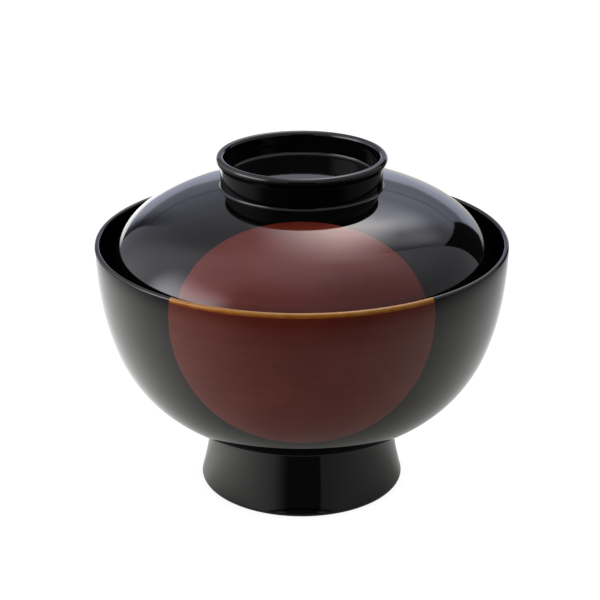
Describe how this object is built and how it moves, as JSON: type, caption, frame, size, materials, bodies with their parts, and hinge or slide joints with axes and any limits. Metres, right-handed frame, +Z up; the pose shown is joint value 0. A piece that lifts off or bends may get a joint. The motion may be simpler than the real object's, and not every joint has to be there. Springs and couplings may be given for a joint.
{
  "type": "lidded rice bowl",
  "caption": "Round lacquered bowl on a flared foot with a lift-off domed lid, a grip ring and a painted disc running over lid and bowl.",
  "frame": {"origin": "centre of the foot's sole, on the table", "axes": "+Z up along the axis of turning; the front, with the painted disc, faces -Y"},
  "size_m": [0.125, 0.125, 0.1052],
  "materials": {
    "turned_wood": "fine turned hardwood, sealed",
    "black_lacquer": "polished black lacquer",
    "red_lacquer": "polished red-brown lacquer, a little translucent",
    "amber_gold": "gold under clear amber lacquer"
  },
  "bodies": {
    "bowl": {"bowl_core": "turned_wood", "bowl_outer_lacquer": "black_lacquer", "bowl_foot_lacquer": "black_lacquer", "bowl_inner_lacquer": "black_lacquer", "bowl_disc": "red_lacquer", "lip_gold": "amber_gold"},
    "lid": {"lid_core": "turned_wood", "lid_outer_lacquer": "black_lacquer", "lid_inner_lacquer": "black_lacquer", "lid_disc": "red_lacquer"}
  },
  "joints": [
    {"name": "lid_lift", "type": "slide", "parent": "bowl", "child": "lid", "axis": [0, 0, 1], "range_m": [0, 0.06]}
  ]
}
